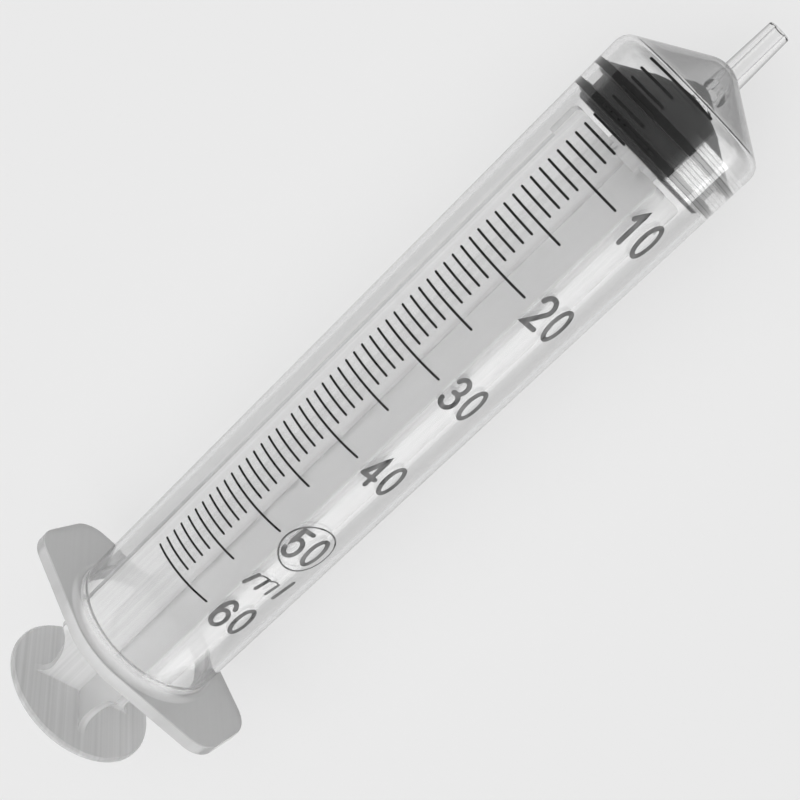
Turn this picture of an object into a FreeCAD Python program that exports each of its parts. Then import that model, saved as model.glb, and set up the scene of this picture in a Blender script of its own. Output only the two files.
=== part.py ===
import FreeCAD, Part
import math
import os

import Sketcher

# A 60 mL luer slip syringe lying on its side, with the scale uppermost.
# The origin is on the barrel's axis in the plane of the finger flange's front face.
# +X runs to the nozzle and +Z away from the surface that the syringe rests on.
# The barrel is drawn with the flange's wings along Y, and then lies turned a little about
# X on the round of the flange's hub. Lengths are in mm, angles in degrees.

SIZES = {
    # barrel tube: a 60 mL scale at 1.777 mm per mL sets the bore
    "bore_radius": 13.38,
    "tube_wall": 1.07,
    "tube_length": 127.4,
    "mouth_chamfer": 0.5,
    # conical front of the barrel
    "nose_half_angle": 60.0,
    "nose_wall": 0.9,
    "nose_tip_round": 5.6,
    "shoulder_round": 2.8,
    # luer slip nozzle, set off towards the underside
    "nozzle_offset": 7.4,
    "nozzle_reach": 16.85,
    "nozzle_tip_radius": 1.965,
    "nozzle_taper": 0.03,
    "nozzle_bore_radius": 1.05,
    "nozzle_edge": 0.25,
    # finger flange
    "flange_thickness": 2.2,
    "flange_hub_radius": 15.9,
    "flange_half_span": 24.2,
    "flange_half_tip": 9.34,
    "flange_corner": 5.6,
    "flange_edge": 0.25,
    "flange_fillet": 1.15,
    # bead inside the mouth that keeps the stopper in
    "bead_depth": 3.8,
    "bead_height": 0.36,
    "bead_half_width": 0.9,
    # rubber stopper, drawn back from the 0 mL line just behind the tube's front end
    "zero_line_back": 0.4,
    "draw_back": 4.0,
    "seal_gap": 0.06,
    "ring_width": 1.6,
    "ring_pitch": 4.0,
    "ring_chamfer": 0.25,
    "recess_radius": 12.1,
    "stopper_length": 6.4,
    "crown_radius": 13.0,
    "crown_round": 4.0,
    "skirt_radius": 12.6,
    "skirt_edge": 0.4,
    # the rod's head and the socket that it turns in
    "neck_radius": 4.8,
    "neck_length": 1.0,
    "head_radius": 7.4,
    "head_rim": 3.0,
    "head_flat_radius": 3.0,
    "lip_length": 2.0,
    "swivel_gap": 0.06,
    # cross-shaped rod with a thicker guide section behind the stopper
    "fin_length": 133.1,
    "fin_radius": 12.1,
    "fin_thickness": 1.4,
    "fin_turn": 42.4,
    "rest_turn": 6,
    "guide_length": 5.3,
    "guide_radius": 12.6,
    "guide_thickness": 1.9,
    "guide_round": 1.0,
    # waist of the fins ahead of the thumb disc
    "waist_radius": 8.1,
    "waist_foot": 2.2,
    "waist_arc": 10.6,
    # thumb disc with grip grooves across its back
    "disc_radius": 14.7,
    "disc_thickness": 1.2,
    "disc_edge": 0.35,
    "grip_pitch": 2.4,
    "grip_width": 0.9,
    "grip_depth": 0.3,
    "grip_field_radius": 13.4,
}
GRIP_GROOVES_EACH_SIDE = 5
FINS = 4

# Places along X, radii and angles that more than one outline is built from
ANGLE = "(Sizes.nose_half_angle * 1 deg)"
MOUTH_X = "(-Sizes.flange_thickness)"
OUTER_RADIUS = "(Sizes.bore_radius + Sizes.tube_wall)"
FILLET_RADIUS = f"({OUTER_RADIUS} + Sizes.flange_fillet)"
NOSE_APEX = f"(Sizes.tube_length + {OUTER_RADIUS} / tan({ANGLE}))"
NOSE_INNER_APEX = f"({NOSE_APEX} - Sizes.nose_wall / sin({ANGLE}))"
NOZZLE_TIP_X = "(Sizes.tube_length + Sizes.nozzle_reach)"
NOZZLE_ROOT_X = f"({NOSE_INNER_APEX} - (Sizes.nozzle_offset + 2 * Sizes.nozzle_tip_radius) / tan({ANGLE}))"
BEAD_X = f"({MOUTH_X} + Sizes.bead_depth)"
SEAL_X = "(Sizes.tube_length - Sizes.zero_line_back - Sizes.draw_back)"
SEAL_RADIUS = "(Sizes.bore_radius - Sizes.seal_gap)"
STOPPER_BACK = f"({SEAL_X} - Sizes.stopper_length)"
LIP_FRONT = f"({STOPPER_BACK} + Sizes.lip_length)"
HEAD_BACK = f"({LIP_FRONT} + Sizes.swivel_gap)"
HEAD_RIM_FRONT = f"({HEAD_BACK} + Sizes.head_rim)"
HEAD_FRONT = f"({HEAD_RIM_FRONT} + (Sizes.head_radius - Sizes.head_flat_radius) / tan({ANGLE}))"
GUIDE_FRONT = f"({STOPPER_BACK} - Sizes.neck_length)"
GUIDE_BACK = f"({GUIDE_FRONT} - Sizes.guide_length)"
FIN_FRONT = f"({GUIDE_FRONT} - Sizes.guide_round)"
DISC_FRONT = f"({GUIDE_FRONT} - Sizes.fin_length)"
DISC_BACK = f"({DISC_FRONT} - Sizes.disc_thickness)"
DISC_MIDDLE = f"({DISC_FRONT} - Sizes.disc_thickness / 2)"
CORNER_ACROSS = "(Sizes.flange_half_span - Sizes.flange_corner)"
CORNER_UP = "(Sizes.flange_half_tip - Sizes.flange_corner)"
CORNER_REACH = f"sqrt({CORNER_ACROSS}^2 + {CORNER_UP}^2)"
FLANGE_LEAN = f"acos((Sizes.flange_hub_radius - Sizes.flange_corner) / {CORNER_REACH})"
REST_TURN = "(Sizes.rest_turn * 1 deg)"
FLANGE_NORMAL = f"(atan({CORNER_UP} / {CORNER_ACROSS}) + {FLANGE_LEAN})"


def make_sheet(doc):
    """The sizes as a sheet of named cells."""
    sheet = doc.addObject("Spreadsheet::Sheet", "Sizes")
    for row, (name, value) in enumerate(SIZES.items(), start=1):
        sheet.set(f"A{row}", name)
        sheet.set(f"B{row}", str(value))
        sheet.setAlias(f"B{row}", name)
    doc.recompute()
    return sheet


class Outline:
    """Closed loops in one sketch, with every corner pinned to expressions."""

    def __init__(self, body, sheet, name, plane, shift_x=None, shift_up=None):
        """An empty sketch on one of the body's origin planes, or beside it."""
        self.sheet = sheet
        self.sketch = body.newObject("Sketcher::SketchObject", name)
        planes = {feature.Role: feature for feature in body.Origin.OriginFeatures}
        self.sketch.AttachmentSupport = [(planes[plane], "")]
        self.sketch.MapMode = "FlatFace"
        if shift_x is not None:
            self.sketch.setExpression("AttachmentOffset.Base.z", f"{shift_x} * 1 mm")
        if shift_up is not None:
            self.sketch.setExpression("AttachmentOffset.Base.y", f"{shift_up} * 1 mm")
        self.corners = []

    def value(self, expression):
        """The number that an expression over the sheet gives."""
        result = self.sheet.evalExpression(expression)
        return float(getattr(result, "Value", result))

    def line(self, across, up):
        """Add a corner that a straight link leads to."""
        self.corners.append((across, up, None, False))
        return self

    def arc(self, across, up, radius, centre_on_right=False):
        """Add a corner that an arc leads to, its centre on one side of the way there."""
        self.corners.append((across, up, radius, centre_on_right))
        return self

    def close(self):
        """Draw the loop, join its ends and pin its corners."""
        drawn = []
        for index, (across, up, radius, centre_on_right) in enumerate(self.corners):
            start = self.place(self.corners[index - 1])
            end = self.place(self.corners[index])
            if radius is None:
                drawn.append((self.sketch.addGeometry(Part.LineSegment(start, end)), 1, 2))
            else:
                drawn.append(self.draw_arc(start, end, self.value(radius), centre_on_right))
        for index, (across, up, radius, centre_on_right) in enumerate(self.corners):
            geometry, first, last = drawn[index]
            following, following_first, _ = drawn[(index + 1) % len(drawn)]
            self.hold("Coincident", geometry, last, following, following_first)
            self.pin(geometry, last, across, up)
        for (across, up, radius, centre_on_right), (geometry, _, _) in zip(self.corners, drawn):
            if radius is not None:
                self.drive(self.hold("Radius", geometry, self.value(radius)), radius)
        self.corners = []
        return self.sketch

    def place(self, corner):
        """Where a corner is, as a vector in the sketch."""
        return FreeCAD.Vector(self.value(corner[0]), self.value(corner[1]), 0)

    def draw_arc(self, start, end, radius, centre_on_right):
        """Draw an arc of under half a turn and tell which of its ends comes first."""
        chord = end - start
        left = FreeCAD.Vector(-chord.y, chord.x, 0).normalize()
        reach = math.sqrt(max(radius**2 - (chord.Length / 2) ** 2, 0.0))
        centre = (start + end) * 0.5 + left * (-reach if centre_on_right else reach)
        ends = (end, start) if centre_on_right else (start, end)
        angles = [math.atan2(point.y - centre.y, point.x - centre.x) for point in ends]
        circle = Part.Circle(centre, FreeCAD.Vector(0, 0, 1), radius)
        geometry = self.sketch.addGeometry(Part.ArcOfCircle(circle, *angles))
        return (geometry, 2, 1) if centre_on_right else (geometry, 1, 2)

    def pin(self, geometry, end, across, up):
        """Hold one end of a link at its corner's expressions."""
        for kind, axis, expression in (("DistanceX", -2, across), ("DistanceY", -1, up)):
            number = self.value(expression)
            if abs(number) < 1e-9:
                self.hold("PointOnObject", geometry, end, axis)
            else:
                self.drive(self.hold(kind, -1, 1, geometry, end, number), expression)

    def hold(self, kind, *parts):
        """Add one constraint and give its index."""
        return self.sketch.addConstraint(Sketcher.Constraint(kind, *parts))

    def drive(self, index, expression):
        """Let an expression drive a constraint."""
        self.sketch.setExpression(f"Constraints[{index}]", expression)


def spin(body, kind, name, sketch):
    """Turn a sketch once about its own horizontal axis, adding or cutting."""
    feature = body.newObject(f"PartDesign::{kind}", name)
    feature.Profile = sketch
    feature.ReferenceAxis = (sketch, ["H_Axis"])
    feature.Angle = 360
    body.Document.recompute()
    return feature


def push(body, kind, name, sketch, depth, midplane=False, reverse=False):
    """Pad or pocket a sketch by an expression's length."""
    feature = body.newObject(f"PartDesign::{kind}", name)
    feature.Profile = sketch
    feature.setExpression("Length", f"{depth} * 1 mm")
    feature.Reversed = reverse
    if midplane:
        feature.SideType = "Symmetric"
    body.Document.recompute()
    return feature


def ring_edges(body, at_x, radius, up=0.0):
    """Names of the circular edges about X at one place along it."""
    names = []
    for number, edge in enumerate(body.Tip.Shape.Edges, start=1):
        if edge.Degenerated or not isinstance(edge.Curve, Part.Circle):
            continue
        curve = edge.Curve
        away = (curve.Center - FreeCAD.Vector(at_x, 0, up)).Length
        if away < 1e-3 and abs(curve.Radius - radius) < 1e-3:
            names.append(f"Edge{number}")
    return names


def flat_edges(body, at_x, beyond):
    """Names of the edges in the plane across X that reach past a radius."""
    names = []
    for number, edge in enumerate(body.Tip.Shape.Edges, start=1):
        box = edge.BoundBox
        if edge.Degenerated or abs(box.XMin - at_x) > 1e-3 or abs(box.XMax - at_x) > 1e-3:
            continue
        middle = edge.valueAt((edge.FirstParameter + edge.LastParameter) / 2)
        if math.hypot(middle.y, middle.z) > beyond:
            names.append(f"Edge{number}")
    return names


def ease(body, kind, name, edges, size):
    """Round or bevel some edges of the body so far."""
    feature = body.newObject(f"PartDesign::{kind}", name)
    feature.Base = (body.Document.getObject(feature.BaseFeature.Name), edges)
    feature.setExpression("Radius" if kind == "Fillet" else "Size", f"{size} * 1 mm")
    body.Document.recompute()
    return feature


def turn_about_x(body, angle):
    """Turn a body about the syringe's axis by an expression's angle."""
    along_x = FreeCAD.Vector(1, 0, 0)
    body.Placement = FreeCAD.Placement(FreeCAD.Vector(), FreeCAD.Rotation(along_x, 1))
    body.setExpression("Placement.Rotation.Angle", angle)


def make_body(doc, label):
    """An empty body under its node's name."""
    body = doc.addObject("PartDesign::Body", label)
    body.Label = label
    doc.recompute()
    return body


def draw_cone_tip(outline, apex, tip_round):
    """Carry an outline down a cone's side and round its tip to the axis."""
    centre = f"({apex} - {tip_round} / sin({ANGLE}))"
    outline.line(f"{centre} + {tip_round} * sin({ANGLE})", f"{tip_round} * cos({ANGLE})")
    outline.arc(f"{centre} + {tip_round}", "0", tip_round, centre_on_right=True)


def draw_flange(outline):
    """The finger flange: a round hub and four round corners with tangents between."""
    hub_across = f"(Sizes.flange_hub_radius * cos({FLANGE_NORMAL}))"
    hub_up = f"(Sizes.flange_hub_radius * sin({FLANGE_NORMAL}))"
    tangent_across = f"({CORNER_ACROSS} + Sizes.flange_corner * cos({FLANGE_NORMAL}))"
    tangent_up = f"({CORNER_UP} + Sizes.flange_corner * sin({FLANGE_NORMAL}))"
    for side, other in (("", "-"), ("-", "")):
        outline.line(f"{side}Sizes.flange_half_span", f"{side}{CORNER_UP}")
        outline.arc(f"{side}{tangent_across}", f"{side}{tangent_up}", "Sizes.flange_corner")
        outline.line(f"{side}{hub_across}", f"{side}{hub_up}")
        outline.arc(f"{other}{hub_across}", f"{side}{hub_up}", "Sizes.flange_hub_radius")
        outline.line(f"{other}{tangent_across}", f"{side}{tangent_up}")
        outline.arc(f"{other}Sizes.flange_half_span", f"{side}{CORNER_UP}", "Sizes.flange_corner")
    return outline.close()


def make_barrel(doc, sheet):
    """Tube, conical nose, offset nozzle and finger flange, moulded in one."""
    body = make_body(doc, "barrel")

    outside = Outline(body, sheet, "BarrelOutside", "XY_Plane")
    outside.line(MOUTH_X, "0")
    outside.line(MOUTH_X, FILLET_RADIUS)
    outside.line("0", FILLET_RADIUS)
    outside.arc("Sizes.flange_fillet", OUTER_RADIUS, "Sizes.flange_fillet")
    outside.line("Sizes.tube_length", OUTER_RADIUS)
    draw_cone_tip(outside, NOSE_APEX, "Sizes.nose_tip_round")
    spin(body, "Revolution", "BarrelBlank", outside.close())

    flange = Outline(body, sheet, "FlangeOutline", "YZ_Plane", shift_x=MOUTH_X)
    push(body, "Pad", "Flange", draw_flange(flange), "Sizes.flange_thickness")

    nozzle = Outline(body, sheet, "NozzleOutline", "XZ_Plane", shift_up="-Sizes.nozzle_offset")
    root_growth = f"({NOZZLE_TIP_X} - {NOZZLE_ROOT_X}) * Sizes.nozzle_taper"
    nozzle.line(NOZZLE_ROOT_X, "0")
    nozzle.line(NOZZLE_ROOT_X, f"Sizes.nozzle_tip_radius + {root_growth}")
    nozzle.line(NOZZLE_TIP_X, "Sizes.nozzle_tip_radius")
    nozzle.line(NOZZLE_TIP_X, "0")
    spin(body, "Revolution", "Nozzle", nozzle.close())

    bore = Outline(body, sheet, "BoreOutline", "XY_Plane")
    bore.line(f"{MOUTH_X} - Sizes.tube_wall", "0")
    bore.line(f"{MOUTH_X} - Sizes.tube_wall", "Sizes.bore_radius")
    bore.line(f"{NOSE_INNER_APEX} - Sizes.bore_radius / tan({ANGLE})", "Sizes.bore_radius")
    draw_cone_tip(bore, NOSE_INNER_APEX, "(Sizes.nose_tip_round - Sizes.nose_wall)")
    spin(body, "Groove", "Bore", bore.close())

    passage = Outline(body, sheet, "PassageOutline", "XZ_Plane", shift_up="-Sizes.nozzle_offset")
    passage.line(NOZZLE_ROOT_X, "0")
    passage.line(NOZZLE_ROOT_X, "Sizes.nozzle_bore_radius")
    passage.line(f"{NOZZLE_TIP_X} + 1", "Sizes.nozzle_bore_radius")
    passage.line(f"{NOZZLE_TIP_X} + 1", "0")
    spin(body, "Groove", "Passage", passage.close())

    bead = Outline(body, sheet, "BeadOutline", "XY_Plane")
    half_crest = "Sizes.bead_half_width / 3"
    buried = "Sizes.bore_radius + Sizes.tube_wall / 4"
    crest = "Sizes.bore_radius - Sizes.bead_height"
    bead.line(f"{BEAD_X} - Sizes.bead_half_width", buried)
    bead.line(f"{BEAD_X} + Sizes.bead_half_width", buried)
    bead.line(f"{BEAD_X} + Sizes.bead_half_width", "Sizes.bore_radius")
    bead.line(f"{BEAD_X} + {half_crest}", crest)
    bead.line(f"{BEAD_X} - {half_crest}", crest)
    bead.line(f"{BEAD_X} - Sizes.bead_half_width", "Sizes.bore_radius")
    spin(body, "Revolution", "StopBead", bead.close())

    value = outside.value
    mouth_x, bore_radius = value(MOUTH_X), value("Sizes.bore_radius")
    shoulder = ring_edges(body, value("Sizes.tube_length"), value(OUTER_RADIUS))
    ease(body, "Fillet", "Shoulder", shoulder, "Sizes.shoulder_round")
    for name, place in (("FlangeFrontEdge", 0), ("FlangeBackEdge", mouth_x)):
        rim = flat_edges(body, place, beyond=value(FILLET_RADIUS) + 0.01)
        ease(body, "Chamfer", name, rim, "Sizes.flange_edge")
    ease(body, "Chamfer", "Mouth", ring_edges(body, mouth_x, bore_radius), "Sizes.mouth_chamfer")
    tip_radius, drop = value("Sizes.nozzle_tip_radius"), value("Sizes.nozzle_offset")
    tip = ring_edges(body, value(NOZZLE_TIP_X), tip_radius, up=-drop)
    ease(body, "Chamfer", "NozzleEdge", tip, "Sizes.nozzle_edge")
    turn_about_x(body, f"-{REST_TURN}")
    return body


def make_stopper(doc, sheet):
    """Rubber stopper: two sealing rings, a conical crown and a socket for the rod."""
    body = make_body(doc, "stopper")
    outline = Outline(body, sheet, "StopperOutline", "XY_Plane")
    socket_neck = "Sizes.neck_radius + Sizes.swivel_gap"
    socket_wall = "Sizes.head_radius + Sizes.swivel_gap"
    outline.line(STOPPER_BACK, socket_neck)
    outline.line(STOPPER_BACK, "Sizes.skirt_radius - Sizes.skirt_edge")
    outline.line(f"{STOPPER_BACK} + Sizes.skirt_edge", "Sizes.skirt_radius")
    ring_fronts = (f"({SEAL_X} - Sizes.ring_pitch)", SEAL_X)
    beside = ("Sizes.skirt_radius", "Sizes.recess_radius", "Sizes.crown_radius")
    for ring_front, behind, ahead in zip(ring_fronts, beside, beside[1:]):
        ring_back = f"({ring_front} - Sizes.ring_width)"
        outline.line(ring_back, behind)
        outline.line(ring_back, f"{SEAL_RADIUS} - Sizes.ring_chamfer")
        outline.line(f"{ring_back} + Sizes.ring_chamfer", SEAL_RADIUS)
        outline.line(f"{ring_front} - Sizes.ring_chamfer", SEAL_RADIUS)
        outline.line(ring_front, f"{SEAL_RADIUS} - Sizes.ring_chamfer")
        outline.line(ring_front, ahead)
    draw_cone_tip(outline, f"({SEAL_X} + Sizes.crown_radius / tan({ANGLE}))", "Sizes.crown_round")
    outline.line(f"{HEAD_FRONT} + Sizes.swivel_gap", "0")
    outline.line(f"{HEAD_FRONT} + Sizes.swivel_gap", "Sizes.head_flat_radius")
    outline.line(f"{HEAD_RIM_FRONT} + Sizes.swivel_gap", socket_wall)
    outline.line(LIP_FRONT, socket_wall)
    outline.line(LIP_FRONT, socket_neck)
    spin(body, "Revolution", "StopperMoulding", outline.close())
    return body


def make_thumb_disc(body, sheet):
    """The rod's thumb disc, with grip grooves that stay inside its rim."""
    disc = Outline(body, sheet, "DiscOutline", "XY_Plane")
    disc.line(DISC_BACK, "0")
    disc.line(DISC_BACK, "Sizes.disc_radius")
    disc.line(DISC_FRONT, "Sizes.disc_radius")
    disc.line(DISC_FRONT, "0")
    spin(body, "Revolution", "ThumbDisc", disc.close())
    radius = disc.value("Sizes.disc_radius")
    faces = (disc.value(DISC_BACK), disc.value(DISC_FRONT))
    rims = [name for face in faces for name in ring_edges(body, face, radius)]
    ease(body, "Chamfer", "DiscRim", rims, "Sizes.disc_edge")

    grooves = Outline(body, sheet, "GripGrooves", "YZ_Plane", shift_x=DISC_BACK)
    for side in ("-", ""):
        for step in range(GRIP_GROOVES_EACH_SIDE):
            middle = f"({side}{step + 0.5} * Sizes.grip_pitch)"
            half_length = f"sqrt(Sizes.grip_field_radius^2 - {middle}^2)"
            grooves.line(f"{middle} - Sizes.grip_width / 2", f"-{half_length}")
            grooves.line(f"{middle} + Sizes.grip_width / 2", f"-{half_length}")
            grooves.line(f"{middle} + Sizes.grip_width / 2", half_length)
            grooves.line(f"{middle} - Sizes.grip_width / 2", half_length)
            grooves.close()
    push(body, "Pocket", "Grip", grooves.sketch, "Sizes.grip_depth", reverse=True)


def make_cross(body, sheet):
    """One fin with its waist and guide section, repeated round the axis."""
    fin = Outline(body, sheet, "FinOutline", "XZ_Plane")
    waist_x = f"({DISC_FRONT} + Sizes.waist_foot)"
    foot_radius = "Sizes.waist_radius + Sizes.waist_foot"
    drop = "(Sizes.waist_arc - Sizes.fin_radius + Sizes.waist_radius)"
    fin.line(DISC_MIDDLE, "0")
    fin.line(DISC_MIDDLE, foot_radius)
    fin.line(DISC_FRONT, foot_radius)
    fin.arc(waist_x, "Sizes.waist_radius", "Sizes.waist_foot")
    fin.arc(f"{waist_x} + sqrt(Sizes.waist_arc^2 - {drop}^2)", "Sizes.fin_radius", "Sizes.waist_arc")
    fin.line(FIN_FRONT, "Sizes.fin_radius")
    fin.line(FIN_FRONT, "0")
    blade = push(body, "Pad", "Fin", fin.close(), "Sizes.fin_thickness", midplane=True)

    guide = Outline(body, sheet, "GuideOutline", "XZ_Plane")
    shoulder = "Sizes.guide_radius - Sizes.guide_round"
    guide.line(GUIDE_BACK, "0")
    guide.line(GUIDE_BACK, "Sizes.guide_radius")
    guide.line(FIN_FRONT, "Sizes.guide_radius")
    guide.arc(GUIDE_FRONT, shoulder, "Sizes.guide_round", centre_on_right=True)
    guide.line(GUIDE_FRONT, "0")
    end = push(body, "Pad", "Guide", guide.close(), "Sizes.guide_thickness", midplane=True)

    cross = body.newObject("PartDesign::PolarPattern", "Cross")
    cross.Originals = [blade, end]
    axes = {feature.Role: feature for feature in body.Origin.OriginFeatures}
    cross.Axis = (axes["X_Axis"], [""])
    cross.Angle = 360
    cross.Occurrences = FINS
    body.Tip = cross
    body.Document.recompute()


def make_rod(doc, sheet):
    """Plunger rod: thumb disc, cross-shaped fins, and the head that holds the stopper."""
    body = make_body(doc, "plunger_rod")
    turn_about_x(body, f"Sizes.fin_turn * 1 deg - {REST_TURN}")
    make_thumb_disc(body, sheet)
    make_cross(body, sheet)

    head = Outline(body, sheet, "HeadOutline", "XY_Plane")
    head.line(FIN_FRONT, "0")
    head.line(FIN_FRONT, "Sizes.neck_radius")
    head.line(HEAD_BACK, "Sizes.neck_radius")
    head.line(HEAD_BACK, "Sizes.head_radius")
    head.line(HEAD_RIM_FRONT, "Sizes.head_radius")
    head.line(HEAD_FRONT, "Sizes.head_flat_radius")
    head.line(HEAD_FRONT, "0")
    spin(body, "Revolution", "Head", head.close())
    return body


def main():
    """Build the sub-parts, check them and write one file for each."""
    doc = FreeCAD.newDocument("luer_slip_syringe")
    sheet = make_sheet(doc)
    bodies = [make_barrel(doc, sheet), make_stopper(doc, sheet), make_rod(doc, sheet)]
    doc.recompute()
    for item in doc.Objects:
        if any(word in item.State for word in ("Invalid", "Error")):
            raise RuntimeError(f"{item.Name} did not build: {item.State}")
    os.makedirs("parts", exist_ok=True)
    for body in bodies:
        shape = body.Shape
        if shape.isNull() or not shape.isValid() or len(shape.Solids) != 1:
            raise RuntimeError(f"{body.Label} is not one valid solid")
        shape.exportStep(f"parts/{body.Label}.step")
        print(f"{body.Label}: {shape.Volume:.0f} cubic mm")


main()
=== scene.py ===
"""Finishes, printed scale, studio and camera for a 60 mL luer slip syringe."""

import logging
import math
from collections.abc import Iterable, Sequence
from dataclasses import dataclass, field
from enum import Enum

import bmesh
import bpy
from mathutils import Matrix, Vector


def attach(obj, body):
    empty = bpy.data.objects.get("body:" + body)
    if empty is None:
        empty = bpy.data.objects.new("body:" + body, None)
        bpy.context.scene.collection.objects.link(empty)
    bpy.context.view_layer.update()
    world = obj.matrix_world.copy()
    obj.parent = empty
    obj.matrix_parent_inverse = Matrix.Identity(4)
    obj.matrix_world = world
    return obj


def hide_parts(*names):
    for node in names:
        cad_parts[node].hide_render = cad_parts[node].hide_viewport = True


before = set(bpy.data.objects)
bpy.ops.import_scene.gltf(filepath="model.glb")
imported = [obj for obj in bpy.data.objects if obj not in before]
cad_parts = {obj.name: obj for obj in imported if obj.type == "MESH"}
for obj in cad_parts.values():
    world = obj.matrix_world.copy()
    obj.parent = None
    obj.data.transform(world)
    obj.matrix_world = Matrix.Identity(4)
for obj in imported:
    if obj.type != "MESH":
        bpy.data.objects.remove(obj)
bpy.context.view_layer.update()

LOG = logging.getLogger("syringe")
MM = 0.001
TINY = 1e-9
# The wings' turn about X at rest, the +Y wing lower.
REST_TURN = math.radians(-6)
# The middle of a noise's values, where most of them lie.
NOISE_MIDDLE = (0.3, 0.7)
# Light passes two walls, the rod's fins and the print, with two surfaces each.
LIGHT_BOUNCES = 24
CLEAR_BOUNCES = 16

Point = tuple[float, float]
Place = tuple[float, float, float]
Verts = list[list[float]]
Faces = list[list[int]]
Socket = bpy.types.NodeSocket


class Body(Enum):
    """The bodies that the scene's own pieces ride on."""

    BARREL = "barrel"
    STOPPER = "stopper"


class Slot(Enum):
    """The record's material slots."""

    BARREL = "barrel_plastic"
    ROD = "rod_plastic"
    RUBBER = "stopper_rubber"


class NodeBoard:
    """A node tree that is being laid out."""

    def __init__(self, tree: bpy.types.NodeTree) -> None:
        """Empty a tree and keep it."""
        self.tree = tree
        tree.nodes.clear()

    def add(self, kind: str, **settings: object) -> bpy.types.Node:
        """Add a node.

        Args:
            kind: The node's type name.
            settings: Properties of the node to set.

        Returns:
            The new node.
        """
        node = self.tree.nodes.new(kind)
        for name, value in settings.items():
            setattr(node, name, value)
        return node

    def join(self, source: Socket, target: Socket) -> None:
        """Link one socket to another."""
        self.tree.links.new(source, target)

    def place(self, output: str = "Object") -> bpy.types.Node:
        """Split a place into its parts along X, Y and Z.

        Args:
            output: Which texture coordinate to split.

        Returns:
            The node with the three parts.
        """
        place = self.add("ShaderNodeTexCoord")
        parts = self.add("ShaderNodeSeparateXYZ")
        self.join(place.outputs[output], parts.inputs["Vector"])
        return parts

    def noise(self, scale: float, detail: float, stretch: Sequence[float]) -> Socket:
        """Add a noise in the object's own place.

        Args:
            scale: Noise scale, per metre.
            detail: Noise detail.
            stretch: Scale along each axis before the noise is read.

        Returns:
            The socket with the noise's value.
        """
        place = self.add("ShaderNodeTexCoord")
        mapping = self.add("ShaderNodeMapping")
        mapping.inputs["Scale"].default_value = stretch
        self.join(place.outputs["Object"], mapping.inputs["Vector"])
        noise = self.add("ShaderNodeTexNoise")
        noise.inputs["Scale"].default_value = scale
        noise.inputs["Detail"].default_value = detail
        self.join(mapping.outputs["Vector"], noise.inputs["Vector"])
        return noise.outputs["Fac"]

    def lines(self, across: Sequence[float], scale: float, detail: float = 2.0) -> Socket:
        """Add fine parallel lines.

        Args:
            across: The direction across the lines.
            scale: Lines per metre.
            detail: Noise detail.

        Returns:
            The socket with the lines' value.
        """
        place = self.add("ShaderNodeTexCoord")
        reach = self.add("ShaderNodeVectorMath", operation="DOT_PRODUCT")
        reach.inputs[1].default_value = across
        self.join(place.outputs["Object"], reach.inputs[0])
        noise = self.add("ShaderNodeTexNoise", noise_dimensions="1D")
        noise.inputs["Scale"].default_value = scale
        noise.inputs["Detail"].default_value = detail
        self.join(reach.outputs["Value"], noise.inputs["W"])
        return noise.outputs["Fac"]

    def spread(self, value: Socket, low: float, high: float) -> Socket:
        """Spread the middle of a noise between two numbers.

        Args:
            value: The socket to read.
            low: What the middle's lower end becomes.
            high: What its upper end becomes.

        Returns:
            The socket with the spread value.
        """
        return self.map_range(value, NOISE_MIDDLE, (low, high))

    def ramp(self, value: Socket, places: Point, levels: Point) -> Socket:
        """Pass smoothly from one level to another.

        Args:
            value: The socket to read, in metres or as a plain number.
            places: Where the passage starts and ends, in thousandths.
            levels: The levels before and after it.

        Returns:
            The socket with the level.
        """
        start, end = places
        return self.map_range(value, (start * MM, end * MM), levels, "SMOOTHSTEP")

    def map_range(
        self, value: Socket, places: Point, levels: Point, passage: str = "LINEAR"
    ) -> Socket:
        """Map a value from one range to another.

        Args:
            value: The socket to read.
            places: The range that is read.
            levels: What its two ends become.
            passage: How the value passes from one end to the other.

        Returns:
            The socket with the mapped value.
        """
        node = self.add("ShaderNodeMapRange", interpolation_type=passage)
        names = ("From Min", "From Max", "To Min", "To Max")
        for name, number in zip(names, (*places, *levels)):
            node.inputs[name].default_value = number
        self.join(value, node.inputs["Value"])
        return node.outputs["Result"]

    def math(
        self,
        operation: str,
        first: Socket | None,
        second: Socket | None = None,
        number: float = 0.0,
    ) -> Socket:
        """Add a math node.

        Args:
            operation: The node's operation.
            first: The first socket, or None for the number.
            second: The second socket, or None for the number.
            number: What stands in for a socket that isn't given.

        Returns:
            The socket with the result.
        """
        node = self.add("ShaderNodeMath", operation=operation)
        for source, target in zip((first, second), node.inputs):
            if source is None:
                target.default_value = number
            else:
                self.join(source, target)
        return node.outputs["Value"]

    def bump(self, height: Socket, depth: float) -> Socket:
        """Add a bump.

        Args:
            height: The socket with the height.
            depth: The bump's depth in metres.

        Returns:
            The socket with the bumped normal.
        """
        node = self.add("ShaderNodeBump")
        node.inputs["Strength"].default_value = 1.0
        node.inputs["Distance"].default_value = depth
        self.join(height, node.inputs["Height"])
        return node.outputs["Normal"]


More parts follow.
